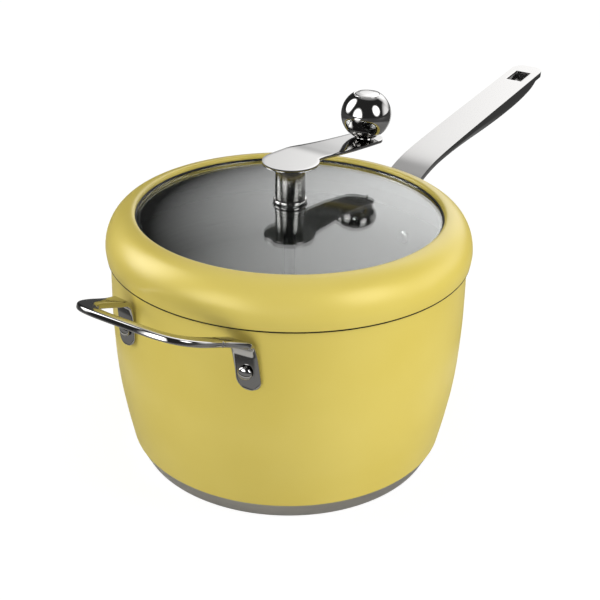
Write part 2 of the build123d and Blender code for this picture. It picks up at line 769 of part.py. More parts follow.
def knob_spindle():
    head_foot = washer_top + neck_gap + bush_height + spindle_head_gap
    tail = tube(spindle_tail_radius, None, arm_at_knob - arm_thickness, arm_at_knob)
    rod = tube(shaft_radius, None, arm_at_knob, head_foot)
    head = tube(spindle_head_radius, None, head_foot, head_foot + spindle_head_height)
    return at_knob(rod + head - arm_relief() + tail)


def knob_ball():
    place = Pos(0, 0, ball_height)
    shell = place * Sphere(ball_radius) - place * Sphere(ball_radius - ball_sheet)
    neck_foot = washer_top + neck_gap
    neck = tube(neck_radius, None, neck_foot, ball_height - ball_radius + 4 * ball_sheet)
    below = tube(far, None, neck_foot - far, neck_foot)
    seat = tube(cap_radius, None, ball_height, ball_height + 2 * ball_radius)
    return at_knob(shell + neck - below - seat - tube(bush_radius(), None, neck_foot, ball_height))


def bush_radius():
    return shaft_radius + running_gap + bush_wall


def knob_bush():
    foot = washer_top + neck_gap
    return at_knob(tube(bush_radius(), shaft_radius + running_gap, foot, foot + bush_height))


def knob_cap():
    """Shallow domed disc that closes the ball's top."""
    edge = ball_height + math.sqrt(ball_radius ** 2 - cap_radius ** 2)
    crown = cap_radius ** 2 / (2 * cap_crown) + cap_crown / 2
    upper = Pos(0, 0, edge + cap_crown - crown) * Sphere(crown)
    return at_knob(tube(cap_radius, None, edge - cap_thickness, edge + cap_crown) & upper)


steel = (0.75, 0.75, 0.76)
yellow = (0.85, 0.76, 0.40)
black = (0.05, 0.05, 0.05)
clear = (0.75, 0.85, 0.85, 0.4)
nodes = [
    (pot_shell, yellow), (base_core, steel), (base_cap, steel), (helper_handle, steel),
    (helper_handle_rivets, steel), (long_handle_bracket, steel), (long_handle_rivets, steel),
    (long_handle_top, steel), (long_handle_underside, steel), (lid_rim, yellow), (lid_inner_ring, steel),
    (glass_gasket, black), (glass_pane, clear), (shaft_bushing, steel), (upper_washer, black),
    (lower_washer, black), (bushing_nut, steel), (bearing_sleeve, black), (thrust_washer, black),
    (crank_arm, steel), (crank_hub, steel), (hub_set_screw, steel), (drive_shaft, steel),
    (shaft_clip, steel), (stirrer_hub, steel), (stirrer_wires, steel), (stirrer_set_screw, steel),
    (knob_spindle, steel), (knob_washer, steel), (knob_ball, steel), (knob_bush, black), (knob_cap, steel),
]

os.makedirs("parts", exist_ok=True)
for build, color in nodes:
    save(build.__name__, build(), color)
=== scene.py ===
import math

import bmesh
import bpy
from mathutils import Matrix, Vector


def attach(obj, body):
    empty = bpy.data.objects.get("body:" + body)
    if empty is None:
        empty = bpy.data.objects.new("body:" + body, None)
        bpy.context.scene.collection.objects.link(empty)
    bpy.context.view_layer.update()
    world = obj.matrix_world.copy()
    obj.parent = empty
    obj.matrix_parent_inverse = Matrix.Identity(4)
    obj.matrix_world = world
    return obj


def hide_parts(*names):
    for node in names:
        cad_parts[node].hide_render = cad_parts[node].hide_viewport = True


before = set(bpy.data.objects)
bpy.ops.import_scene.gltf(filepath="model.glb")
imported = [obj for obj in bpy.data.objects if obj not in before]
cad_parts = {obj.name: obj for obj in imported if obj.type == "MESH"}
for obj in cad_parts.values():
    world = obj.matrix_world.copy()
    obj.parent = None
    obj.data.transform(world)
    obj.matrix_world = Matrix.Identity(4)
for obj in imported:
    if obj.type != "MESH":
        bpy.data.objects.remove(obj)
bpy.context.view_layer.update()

# ---------------------------------------------------------------------------------------------------
# Pot. Deep-drawn stainless steel, 1.5 mm thick, with a belly that draws in to the foot. The outside
# is sprayed with a baked ceramic coating; the inside is bare steel, brushed round the axis.

mm = 0.001


def linear(code):
    """Linear colour of an sRGB hex code."""
    parts = [int(code[i:i + 2], 16) / 255 for i in (1, 3, 5)]
    return [c / 12.92 if c <= 0.04045 else ((c + 0.055) / 1.055) ** 2.4 for c in parts] + [1.0]


def add(tree, kind, settings=None, links=None):
    """Adds a node with its settings and the links into it, given as {input: other node's output}."""
    made = tree.nodes.new(kind)
    for key, value in (settings or {}).items():
        if isinstance(key, str) and hasattr(made, key):
            setattr(made, key, value)
        else:
            made.inputs[key].default_value = value
    for key, source in (links or {}).items():
        tree.links.new(source, made.inputs[key])
    return made


def surface(name):
    """A new material with its node tree and its shader."""
    material = bpy.data.materials.new(name)
    material.use_nodes = True
    tree = material.node_tree
    return material, tree, tree.nodes["Principled BSDF"]


def noise(tree, place, size, detail=2.0):
    """Noise with waves of a size in millimetres, fixed to the object."""
    return add(tree, "ShaderNodeTexNoise", {"Scale": 1 / (size * mm), "Detail": detail},
               {"Vector": place.outputs["Object"]})


def ramp(tree, source, stops):
    """Colours by a value, given as (value, linear colour) pairs in rising order."""
    made = add(tree, "ShaderNodeValToRGB", None, {"Fac": source})
    elements = made.color_ramp.elements
    for value, _ in stops[2:]:
        elements.new(value)
    for element, (value, color) in zip(elements, stops):
        element.position = value
        element.color = color
    return made


def curve_through(points, parts):
    """Smooth line through points of a profile, with some parts between each two."""
    ends = [points[0], *points, points[-1]]
    line = []
    for a, b, c, d in zip(ends, ends[1:], ends[2:], ends[3:]):
        for i in range(parts):
            t = i / parts
            line.append(tuple(0.5 * (2 * q + (r - p) * t + (2 * p - 5 * q + 4 * r - s) * t * t
                                     + (3 * q - p - 3 * r + s) * t ** 3)
                              for p, q, r, s in zip(a, b, c, d)))
    return line + [points[-1]]


def rounded(line, radius, parts=4):
    """A profile with each inner corner turned on a radius, as far as its sides allow."""
    done = [line[0]]
    for before, corner, after in zip(line, line[1:], line[2:]):
        p, c, n = Vector(before), Vector(corner), Vector(after)
        reach = min(radius, (p - c).length * 0.45, (n - c).length * 0.45)
        start = c + (p - c).normalized() * reach
        end = c + (n - c).normalized() * reach
        for i in range(parts + 1):
            t = i / parts
            done.append(tuple(start * (1 - t) ** 2 + c * 2 * t * (1 - t) + end * t * t))
    return done + [line[-1]]


def keep(bm, name, materials, sharp=35):
    """Turns a bmesh into an object: edges sharper than an angle stay crisp, the rest is smooth."""
    bmesh.ops.remove_doubles(bm, verts=bm.verts, dist=1e-6)
    bmesh.ops.recalc_face_normals(bm, faces=bm.faces)
    for face in bm.faces:
        face.smooth = True
    for edge in bm.edges:
        if len(edge.link_faces) == 2:
            edge.smooth = edge.calc_face_angle() < math.radians(sharp)
    mesh = bpy.data.meshes.new(name)
    bm.to_mesh(mesh)
    bm.free()
    for material in materials:
        mesh.materials.append(material)
    made = bpy.data.objects.new(name, mesh)
    bpy.context.scene.collection.objects.link(made)
    return made


def spun(line, steps=160, closed=True):
    """Spins a profile of (radius, height) points in millimetres about the pot's axis."""
    bm = bmesh.new()
    verts = [bm.verts.new((r * mm, 0, z * mm)) for r, z in line]
    pairs = list(zip(verts, verts[1:])) + ([(verts[-1], verts[0])] if closed else [])
    edges = [bm.edges.new(pair) for pair in pairs]
    bmesh.ops.spin(bm, geom=verts + edges, cent=(0, 0, 0), axis=(0, 0, 1), angle=2 * math.pi,
                   steps=steps, use_merge=True)
    bmesh.ops.remove_doubles(bm, verts=bm.verts, dist=1e-6)
    bmesh.ops.recalc_face_normals(bm, faces=bm.faces)
    return bm


def put(made, body, *replaced, slot):
    """Rides a finished piece on its body, in place of its CAD nodes."""
    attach(made, body)
    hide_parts(*replaced)


# Ceramic coating, sprayed and baked: opaque, satin, with a faint orange-peel skin of 2 mm waves that
# softens its highlights.
coating, tree, shader = surface("baked ceramic coating, butter yellow")
shader.inputs["Roughness"].default_value = 0.32
shader.inputs["IOR"].default_value = 1.5
place = add(tree, "ShaderNodeTexCoord")
peel = noise(tree, place, 2.0)
cloud = noise(tree, place, 60)
tone = ramp(tree, cloud.outputs["Fac"], [(0.3, linear("#E0CB61")), (0.7, linear("#E4D06A"))])
tree.links.new(tone.outputs["Color"], shader.inputs["Base Color"])
skin = add(tree, "ShaderNodeBump", {"Strength": 0.05, "Distance": 0.05 * mm},
           {"Height": peel.outputs["Fac"]})
tree.links.new(skin.outputs["Normal"], shader.inputs["Normal"])


def turned_steel(name, color, roughness, pitch, depth):
    """Stainless steel with fine lines round the axis, left by a brush or a turning tool."""
    material, tree, shader = surface(name)
    shader.inputs["Metallic"].default_value = 1.0
    place = add(tree, "ShaderNodeTexCoord")
    split = add(tree, "ShaderNodeSeparateXYZ", None, {"Vector": place.outputs["Object"]})
    across = add(tree, "ShaderNodeCombineXYZ", None, {"X": split.outputs["X"], "Y": split.outputs["Y"]})
    radius = add(tree, "ShaderNodeVectorMath", {"operation": "LENGTH"}, {0: across.outputs["Vector"]})
    angle = add(tree, "ShaderNodeMath", {"operation": "ARCTAN2"},
                {0: split.outputs["Y"], 1: split.outputs["X"]})
    slow = add(tree, "ShaderNodeMath", {"operation": "MULTIPLY", 1: 0.004}, {0: angle.outputs["Value"]})
    lines = add(tree, "ShaderNodeCombineXYZ", None,
                {"X": radius.outputs["Value"], "Y": split.outputs["Z"], "Z": slow.outputs["Value"]})
    grain = add(tree, "ShaderNodeTexNoise", {"Scale": 1 / pitch, "Detail": 3.0, "Roughness": 0.6},
                {"Vector": lines.outputs["Vector"]})
    darker = [c * 0.86 for c in linear(color)[:3]] + [1.0]
    tone = ramp(tree, grain.outputs["Fac"], [(0.25, darker), (0.75, linear(color))])
    tree.links.new(tone.outputs["Color"], shader.inputs["Base Color"])
    gloss = add(tree, "ShaderNodeMapRange", {"To Min": roughness * 0.8, "To Max": roughness * 1.25},
                {"Value": grain.outputs["Fac"]})
    tree.links.new(gloss.outputs["Result"], shader.inputs["Roughness"])
    bump = add(tree, "ShaderNodeBump", {"Strength": 0.25, "Distance": depth},
               {"Height": grain.outputs["Fac"]})
    tree.links.new(bump.outputs["Normal"], shader.inputs["Normal"])
    return material


# Brushed stainless steel: the brush leaves lines round the pot, drawn about 0.9 mm apart, which is
# coarser than the real ones so that they show.
inside_steel = turned_steel("stainless steel, brushed inside the pot", "#A6A6A5", 0.30,
                            0.9 * mm, 0.03 * mm)

wall = 1.5
wall_line = [(110.0, 12.7), (113.15, 28.7), (114.96, 39.4), (117.01, 52.8), (118.7, 70.2),
             (119.68, 90.3), (120.0, 110.3), (119.4, 148.4)]
outside = curve_through(wall_line, 6)
inside = [(r - wall, z) for r, z in outside]
pot_line = rounded([(0, 7), (99.2, 7), (105.5, 9.3), outside[0]], 2) + outside[1:-1]
pot_line += rounded([outside[-2], outside[-1], inside[-1], inside[-2]], 0.5)[1:-1]
pot_line += list(reversed(inside[1:-2]))
pot_line += rounded([inside[0], (104.0, 10.8), (97.7, 8.5), (0, 8.5)], 4, 6)
bm = spun(pot_line, 192)
for face in bm.faces:
    middle = face.calc_center_median()
    outward = face.normal.x * middle.x + face.normal.y * middle.y
    face.material_index = 0 if outward > 0 and middle.z > 12.8 * mm else 1
pot = keep(bm, "pot_wall", [coating, inside_steel])
put(pot, "pot", "pot_shell", slot="coating")

# ---------------------------------------------------------------------------------------------------
# Base. An aluminium disc under the pot's floor, capped by a pressed steel skin whose bright brushed
# band shows below the coating.

band_steel = turned_steel("stainless steel, brushed base band", "#D8D4CC", 0.38, 0.7 * mm, 0.04 * mm)
base_line = [(0, 0), (103.7, 0), (109.98, 12.7), (109.3, 12.2), (105.5, 9.3), (99.2, 7), (98, 7),
             (98, 1), (0, 1)]
base = keep(spun(rounded(base_line, 0.9), 192), "base_band", [band_steel])
put(base, "pot", "base_cap", slot="base_steel")

cast, tree, shader = surface("rolled aluminium disc")
shader.inputs["Metallic"].default_value = 1.0
shader.inputs["Roughness"].default_value = 0.45
place = add(tree, "ShaderNodeTexCoord")
mill = noise(tree, place, 3)
tone = add(tree, "ShaderNodeMapRange", {"To Min": 0.62, "To Max": 0.72}, {"Value": mill.outputs["Fac"]})
tree.links.new(tone.outputs["Result"], shader.inputs["Base Color"])


def dress(node, material):
    """Gives a CAD node that stays in the scene its material."""
    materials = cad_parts[node].data.materials
    materials.clear()
    materials.append(material)


dress("base_core", cast)

# ---------------------------------------------------------------------------------------------------
# Lid ring. A spun steel ring over the pot's rim with the same coating as the pot, rolled over at its
# mouth, and a plain steel ring inside it that locates the lid and carries the glass.


def ring_quarter(inset, steps):
    """Points of the ring's quarter ellipse, from its widest circle up to its crest."""
    turns = [t * math.pi / 48 for t in steps]
    return [(103.8 + (18.7 - inset) * math.cos(a), 151.7 + (23.3 - inset) * math.sin(a)) for a in turns]


lid_edge = [(121.7, 145.4), (121.8, 146.4), (122.2, 148.6), (122.5, 151.7)]
lip = [(103.0, 174.6), (102.5, 173.7), (102.4, 172.6), (102.4, 166.0), (103.6, 166.0), (103.6, 172.8)]
ring_line = lid_edge + ring_quarter(0, range(1, 25)) + lip + ring_quarter(1.2, range(23, -1, -1))
ring_line += [(121.0, 148.6), (120.5, 145.4)]
# The lowest strip of the ring is bare steel whose colour is painted near black: a painted shadow for the
# gap between the lid and the pot.
shadow_gap_edge = turned_steel("stainless steel edge, painted dark as the shadow gap", "#3E3B38", 0.4, 0.5 * mm, 0.02 * mm)
bm = spun(ring_line, 192)
# Faces below this height take the dark steel, the painted shadow line under the lid.
shadow_gap_top = 146.3
for face in bm.faces:
    if face.calc_center_median().z < shadow_gap_top * mm:
        face.material_index = 1
ring = keep(bm, "lid_ring", [coating, shadow_gap_edge])
put(ring, "lid", "lid_rim", slot="coating")

plain_steel = turned_steel("stainless steel, spun lid ring", "#BDBDBC", 0.24, 0.8 * mm, 0.03 * mm)
seat = [(116.3, 138.5), (117.3, 138.5), (117.3, 148.5), (121.0, 148.5), (121.0, 149.5), (117.3, 149.5),
        (105.6, 165.0), (104.6, 166.0), (98.8, 166.0), (98.8, 165.0), (104.1, 165.0), (116.3, 148.5)]
seat_ring = keep(spun(rounded(seat, 0.4, 3)), "locating_ring", [plain_steel])
put(seat_ring, "lid", "lid_inner_ring", slot="lid_steel")

# ---------------------------------------------------------------------------------------------------
# Glass. A pressed dome of tempered soda-lime glass, 4 mm thick, with a ground and polished edge, in a
# thin black silicone seal.

clear, tree, shader = surface("tempered soda-lime glass")
shader.inputs["Base Color"].default_value = linear("#F4F8F6")
shader.inputs["Roughness"].default_value = 0.0
shader.inputs["IOR"].default_value = 1.52
shader.inputs["Transmission Weight"].default_value = 1.0
path = add(tree, "ShaderNodeLightPath")
open_glass = add(tree, "ShaderNodeBsdfTransparent", {"Color": linear("#F2F6F4")})
through = add(tree, "ShaderNodeMath", {"operation": "MAXIMUM"},
              {0: path.outputs["Is Shadow Ray"], 1: path.outputs["Is Diffuse Ray"]})
mixed = add(tree, "ShaderNodeMixShader", None,
            {"Fac": through.outputs[0], 1: shader.outputs[0], 2: open_glass.outputs[0]})
tree.links.new(mixed.outputs[0], tree.nodes["Material Output"].inputs["Surface"])

glass_top, glass_thickness, dome_radius = 179.0, 4.0, 689.2
bore, rim = 8, 101.1
radii = [bore + (rim - bore) * i / 40 for i in range(41)]
above = [(r, glass_top - (dome_radius - math.sqrt(dome_radius ** 2 - r ** 2))) for r in radii]
below = [(r, z - glass_thickness) for r, z in reversed(above)]
pane_line = above + [(101.4, 171.1), (101.4, 168.0)] + below
pane = keep(spun(pane_line, 192), "glass_dome", [clear])
put(pane, "lid", "glass_pane", slot="glass")

black_seal, tree, shader = surface("silicone seal, black")
shader.inputs["Base Color"].default_value = linear("#161616")
shader.inputs["Specular IOR Level"].default_value = 0.4
place = add(tree, "ShaderNodeTexCoord")
matt = noise(tree, place, 0.8, 3.0)
soft = add(tree, "ShaderNodeMapRange", {"To Min": 0.45, "To Max": 0.65}, {"Value": matt.outputs["Fac"]})
tree.links.new(soft.outputs["Result"], shader.inputs["Roughness"])
skin = add(tree, "ShaderNodeBump", {"Strength": 0.2, "Distance": 0.05 * mm},
           {"Height": matt.outputs["Fac"]})
tree.links.new(skin.outputs["Normal"], shader.inputs["Normal"])

seal_line = [(98.8, 166.05), (102.35, 166.05), (102.35, 172.3), (101.45, 172.3), (101.45, 167.3),
             (98.8, 167.5)]
seal = keep(spun(rounded(seal_line, 0.3, 3)), "glass_seal", [black_seal])
put(seal, "lid", "glass_gasket", slot="seal")

# ---------------------------------------------------------------------------------------------------
# Bearing in the glass. A turned steel bushing stands in the hole on a soft washer, clamped from below
# by a nut on a second washer, and holds a black plastic sleeve for the shaft.


def polished_steel(name, color, roughness):
    """Stainless steel buffed to a mirror: faint swirls and hand marks vary its gloss a little."""
    material, tree, shader = surface(name)
    shader.inputs["Metallic"].default_value = 1.0
    shader.inputs["Base Color"].default_value = linear(color)
    place = add(tree, "ShaderNodeTexCoord")
    haze = noise(tree, place, 14, 4.0)
    gloss = add(tree, "ShaderNodeMapRange", {"To Min": roughness * 0.7, "To Max": roughness * 1.4},
                {"Value": haze.outputs["Fac"]})
    tree.links.new(gloss.outputs["Result"], shader.inputs["Roughness"])
    buff = noise(tree, place, 0.7)
    bump = add(tree, "ShaderNodeBump", {"Strength": 0.03, "Distance": 0.01 * mm},
               {"Height": buff.outputs["Fac"]})
    tree.links.new(bump.outputs["Normal"], shader.inputs["Normal"])
    return material


mirror_steel = polished_steel("stainless steel, mirror polished", "#B4B3B2", 0.06)
bushing_line = [(5.5, 168.6), (7.5, 168.6), (7.5, 179.6), (11.1, 179.6), (11.1, 181.5), (5.5, 181.5)]
bushing = keep(spun(rounded(bushing_line, 0.4), 96), "bushing", [mirror_steel])
put(bushing, "lid", "shaft_bushing", slot="polished_steel")

over_line = [(7.5, 178.96), (10.6, 178.92), (10.6, 179.6), (7.5, 179.6)]
under_line = [(7.5, 173.2), (12, 173.2), (12, 174.9), (7.5, 174.96)]
for name, node, line in (("washer_over_glass", "upper_washer", over_line),
                         ("washer_under_glass", "lower_washer", under_line)):
    washer = keep(spun(rounded(line, 0.25, 3), 96), name, [black_seal])
    put(washer, "lid", node, slot="seal")

slick, tree, shader = surface("acetal bearing plastic, black")
shader.inputs["Base Color"].default_value = linear("#1A1A1A")
place = add(tree, "ShaderNodeTexCoord")
rub = noise(tree, place, 1.5)
soft = add(tree, "ShaderNodeMapRange", {"To Min": 0.3, "To Max": 0.45}, {"Value": rub.outputs["Fac"]})
tree.links.new(soft.outputs["Result"], shader.inputs["Roughness"])
sleeve_line = [(4.05, 167.6), (5.5, 167.6), (5.5, 181.5), (4.05, 181.5)]
put(keep(spun(sleeve_line, 96), "sleeve", [slick]), "lid", "bearing_sleeve", slot="bearing")
thrust_line = [(4.05, 181.5), (9.4, 181.5), (9.4, 182.0), (4.05, 182.0)]
put(keep(spun(thrust_line, 96), "thrust_ring", [slick]), "lid", "thrust_washer", slot="bearing")

nut_middle, nut_corner = 171.2, 11.55
bm = bmesh.new()
bmesh.ops.create_cone(bm, cap_ends=False, segments=6, radius1=nut_corner * mm, radius2=nut_corner * mm,
                      depth=4 * mm, matrix=Matrix.Translation((0, 0, nut_middle * mm)))
walls = [edge for edge in bm.edges if edge.is_boundary]
bores = []
for upper in (False, True):
    hexagon = [e for e in walls if (e.verts[0].co.z > nut_middle * mm) == upper]
    level = Matrix.Translation((0, 0, hexagon[0].verts[0].co.z))
    made = bmesh.ops.create_circle(bm, segments=48, radius=7.5 * mm, matrix=level)
    bores.append(list({edge for vert in made["verts"] for edge in vert.link_edges}))
    bmesh.ops.triangle_fill(bm, use_beauty=True, edges=hexagon + bores[-1])
bmesh.ops.bridge_loops(bm, edges=bores[0] + bores[1])
nut = keep(bm, "bushing_nut_hex", [plain_steel], sharp=20)
put(nut, "lid", "bushing_nut", slot="lid_steel")

# ---------------------------------------------------------------------------------------------------
# Crank. A polished column with a stamped arm on it, which turns the shaft in the bushing. The arm is
# a 1.9 mm plate: a disc over the column and a tongue that comes down a little to the knob.

crank_rest = math.radians(-1.0)
reach = 87.7


def turn_to_rest(bm):
    """Turns a piece about the pot's axis to the crank's angle at rest."""
    bmesh.ops.rotate(bm, cent=(0, 0, 0), matrix=Matrix.Rotation(crank_rest, 3, "Z"), verts=bm.verts)
    return bm


column_line = [(4, 182.1), (10, 182.1), (10, 203.7), (0, 203.7), (0, 199.7), (4, 199.7)]
turned_column = polished_steel("stainless steel, turned column", "#8E8D8B", 0.16)
column = keep(turn_to_rest(spun(rounded(column_line, 0.5, 3), 96)), "crank_column", [turned_column])
put(column, "crank", "crank_hub", slot="polished_steel")

arm_line = [(-40, 205.6), (-10, 205.6), (10, 205.6), (21.0, 205.38), (35.1, 203.58), (52.6, 201.5),
            (70.2, 199.84), (87.7, 198.4), (105.2, 197.18)]
arm_curve = curve_through(arm_line, 10)
disc_radius, end_radius = 18.8, 12.6


def height_on(line, x):
    """Height of a line of (distance, height) points at a distance."""
    for (xa, za), (xb, zb) in zip(line, line[1:]):
        if x <= xb:
            return za + (zb - za) * (x - xa) / (xb - xa)
    return line[-1][1]


def sheet(made, thickness):
    """Gives a surface a sheet's thickness in millimetres, behind its faces."""
    solid = made.modifiers.new("sheet", "SOLIDIFY")
    solid.thickness = thickness * mm
    solid.offset = -1


def arm_side(x, side):
    """Half width of the arm: the disc, the tongue's straight sides and its round end."""
    disc = math.sqrt(max(disc_radius ** 2 - x * x, 0))
    tongue = math.sqrt(max(end_radius ** 2 - max(x - reach, 0) ** 2, 0))
    if x < 0:
        return disc
    if side > 0:
        taper = disc_radius + (end_radius - disc_radius) * x / reach
        return min(taper, tongue + (taper - end_radius))
    return max(disc, tongue)


middle, half = (reach + end_radius - disc_radius) / 2, (reach + end_radius + disc_radius) / 2
bm = bmesh.new()
bmesh.ops.create_grid(bm, x_segments=120, y_segments=12, size=1.0)
for vert in bm.verts:
    u, v = vert.co.x, vert.co.y
    x = middle + half * math.sin(u * math.pi / 2)
    y = arm_side(x, v) * v
    vert.co = Vector((x, y, height_on(arm_curve, x))) * mm
arm = keep(turn_to_rest(bm), "crank_plate", [mirror_steel])
sheet(arm, 1.9)
edge = arm.modifiers.new("edge", "BEVEL")
edge.width = 0.5 * mm
edge.segments = 3
put(arm, "crank", "crank_arm", slot="polished_steel")

shaft_line = [(0, 12.7), (4, 12.7), (4, 166.5), (3.5, 166.5), (3.5, 167.3), (4, 167.3), (4, 199.7),
              (0, 199.7)]
shaft = keep(spun(shaft_line, 64), "shaft_rod", [plain_steel])
put(shaft, "crank", "drive_shaft", slot="lid_steel")
clip_line = [(3.5, 166.55), (6.8, 166.55), (6.8, 167.25), (3.5, 167.25)]
clip = keep(spun(clip_line, 64), "retaining_clip", [plain_steel])
put(clip, "crank", "shaft_clip", slot="lid_steel")

# ---------------------------------------------------------------------------------------------------
# Stirrer. Two loops of drawn stainless wire set in a turned hub, which a set screw holds on the shaft
# just over the pot's floor.

hub_line = [(4, 12.7), (4, 30.7), (8.5, 30.7), (8.5, 9.7), (0, 9.7), (0, 12.7)]
hub = keep(turn_to_rest(spun(rounded(hub_line, 0.6, 3), 64)), "stirrer_boss", [plain_steel])
put(hub, "crank", "stirrer_hub", slot="lid_steel")

wire_path = rounded([(5.6, 11.5), (94.0, 11.5), (94.0, 28.5), (5.6, 25.5)], 5.0, 8)
wire_line = [Vector((x, 0, z)) for x, z in wire_path]
ahead = [(b - a).normalized() for a, b in zip(wire_line, wire_line[1:])]
bm = bmesh.new()
for half_turn in (0, math.pi):
    start = Matrix.Translation(wire_line[0] * mm) @ Matrix.Rotation(math.pi / 2, 4, "Y")
    made = bmesh.ops.create_circle(bm, segments=14, radius=1.6 * mm, matrix=start)
    everything = list(made["verts"])
    loop = list({edge for vert in everything for edge in vert.link_edges})
    bmesh.ops.contextual_create(bm, geom=loop)
    heading = Vector((1, 0, 0))
    for i, (a, b) in enumerate(zip(wire_line, wire_line[1:])):
        grown = bmesh.ops.extrude_edge_only(bm, edges=loop)["geom"]
        verts = [g for g in grown if isinstance(g, bmesh.types.BMVert)]
        loop = [g for g in grown if isinstance(g, bmesh.types.BMEdge)]
        bmesh.ops.translate(bm, verts=verts, vec=(b - a) * mm)
        facing = (ahead[i] + ahead[i + 1]).normalized() if i + 1 < len(ahead) else ahead[i]
        turned = heading.rotation_difference(facing).to_matrix()
        bmesh.ops.rotate(bm, cent=b * mm, verts=verts, matrix=turned)
        heading = facing
        everything += verts
    bmesh.ops.contextual_create(bm, geom=loop)
    bmesh.ops.rotate(bm, cent=(0, 0, 0), verts=everything, matrix=Matrix.Rotation(half_turn, 3, "Z"))
wires = keep(turn_to_rest(bm), "stirrer_loops", [plain_steel], sharp=50)
put(wires, "crank", "stirrer_wires", slot="wire")

for node in ("hub_set_screw", "stirrer_set_screw"):
    dress(node, plain_steel)

# ---------------------------------------------------------------------------------------------------
# Knob. A hollow polished steel ball on a plastic bush, free to turn on a spindle riveted in the arm;
# a low disc closes its top.

knob_spot = Vector((reach * math.cos(crank_rest), reach * math.sin(crank_rest), 0)) * mm


def at_knob(bm):
    """Moves a piece from the pot's axis to the knob's."""
    bmesh.ops.translate(bm, verts=bm.verts, vec=knob_spot)
    return bm


ball_center, ball_radius, hollow_radius = 217.3, 17.6, 16.0
neck_foot, neck_radius, mouth_radius = 199.6, 6.6, 9.9


def ball_arc(radius, angles):
    """Points round the ball's middle, by their angles above the horizontal."""
    return [(radius * math.cos(a), ball_center + radius * math.sin(a)) for a in angles]


low = math.asin(neck_radius / ball_radius) - math.pi / 2
high = math.acos(mouth_radius / ball_radius)
globe = ball_arc(ball_radius, [low + (high - low) * i / 60 for i in range(61)])
hollow = ball_arc(hollow_radius, [i * math.pi / 40 for i in range(11, -16, -1)])
ball_line = [(5.95, neck_foot), (neck_radius, neck_foot)] + globe
ball_line += [(mouth_radius, 229.9)] + hollow + [(5.95, 203.6)]
knob = keep(at_knob(spun(ball_line, 128)), "knob_globe", [mirror_steel], sharp=30)
put(knob, "knob", "knob_ball", slot="polished_steel")

cap_line = [(0, 230.5), (9.85, 230.5), (9.85, 231.95), (9.1, 232.35), (8.6, 231.9), (7.9, 232.3),
            (5, 232.9), (0, 233.1)]
cap = keep(at_knob(spun(rounded(cap_line, 0.3, 3), 96)), "knob_disc", [mirror_steel], sharp=30)
put(cap, "knob", "knob_cap", slot="polished_steel")
bush_line = [(4.05, 199.6), (5.95, 199.6), (5.95, 219.6), (4.05, 219.6)]
bush = keep(at_knob(spun(bush_line, 64)), "knob_sleeve", [slick])
put(bush, "knob", "knob_bush", slot="bearing")
spindle_line = [(0, 196.5), (3, 196.5), (3, 198.4), (4, 198.4), (4, 219.8), (5.6, 219.8), (5.6, 221.4),
                (0, 221.4)]
spindle = keep(at_knob(spun(rounded(spindle_line, 0.3, 3), 64)), "knob_pin", [mirror_steel])
put(spindle, "crank", "knob_spindle", slot="polished_steel")
disc_line = [(4, 198.45), (10.4, 198.45), (10.4, 199.4), (4, 199.4)]
disc = keep(at_knob(spun(rounded(disc_line, 0.3, 3), 96)), "knob_seat_washer", [mirror_steel])
put(disc, "crank", "knob_washer", slot="polished_steel")

# ---------------------------------------------------------------------------------------------------
# Loop handle. One stamped and polished strap: a squared loop that slopes up away from the pot, with
# wide ears folded down and riveted through the wall.

loop_turn = math.radians(182.0)
slope = math.radians(22)
along = Vector((math.cos(slope), 0, math.sin(slope)))
upright = Vector((-math.sin(slope), 0, math.cos(slope)))
loop_foot = Vector((113.32, 0, 140.0))
ear_middle = 45.4
fold_line = 2.3
ear_turn = math.radians(14)
ear_splay = math.radians(4)
fold_start = 4.9
bend_angle = math.radians(56)
bend_radius = 9.0
bow_angle = math.radians(14)
ear_drop = 29.6
ear_end = fold_start - bend_radius * bend_angle - ear_drop
strap_outer, strap_inner = 47.2, 37.2
strap_length, ear_start = 61.4, 21.4
end_round = 6.3


def folded(reach_out, side):
    """Place and outward normal of the strap's pot side, at a distance from the ear's fold line, in mm.
    The fold is a tight arc, and the ear below it goes on bending a little."""
    outward = along * math.cos(ear_turn) + Vector((0, side * math.sin(ear_turn), 0))
    turned = min(max((fold_start - reach_out) / bend_radius, 0), bend_angle)
    out = fold_start - bend_radius * math.sin(turned) if turned > 0 else reach_out
    rise = -bend_radius * (1 - math.cos(turned))
    down = max(fold_start - reach_out - bend_radius * bend_angle, 0)
    bow_radius = ear_drop / bow_angle
    bowed = bend_angle + down / bow_radius
    if down > 0:
        out -= bow_radius * (math.sin(bowed) - math.sin(bend_angle))
        rise -= bow_radius * (math.cos(bend_angle) - math.cos(bowed))
        turned = bowed
    normal = upright * math.cos(turned) - outward * math.sin(turned)
    return out, rise, outward, normal


def ear_point(reach_out, across, deep, side):
    """A point of an ear: distance from its fold, sideways place from the handle's middle, depth."""
    out, rise, outward, normal = folded(reach_out, side)
    root = loop_foot + along * fold_line + Vector((0, side * ear_middle, 0))
    flat = Vector((0, side * math.cos(ear_turn), 0)) - along * math.sin(ear_turn)
    spot = root + outward * out + upright * rise
    spread = max(loop_foot.z - spot.z, 0) * math.tan(ear_splay)
    aside = across + spread - ear_middle - out * math.sin(ear_turn) + side * normal.y * deep
    return spot + flat * (aside / math.cos(ear_turn)) - normal * deep


def loop_edge(angle, half, length, square=4.3):
    """A squared ellipse, by the direction from its middle."""
    sides = abs(math.cos(angle) / length) ** square + abs(math.sin(angle) / half) ** square
    size = sides ** (-1 / square)
    return size * math.cos(angle), size * math.sin(angle)


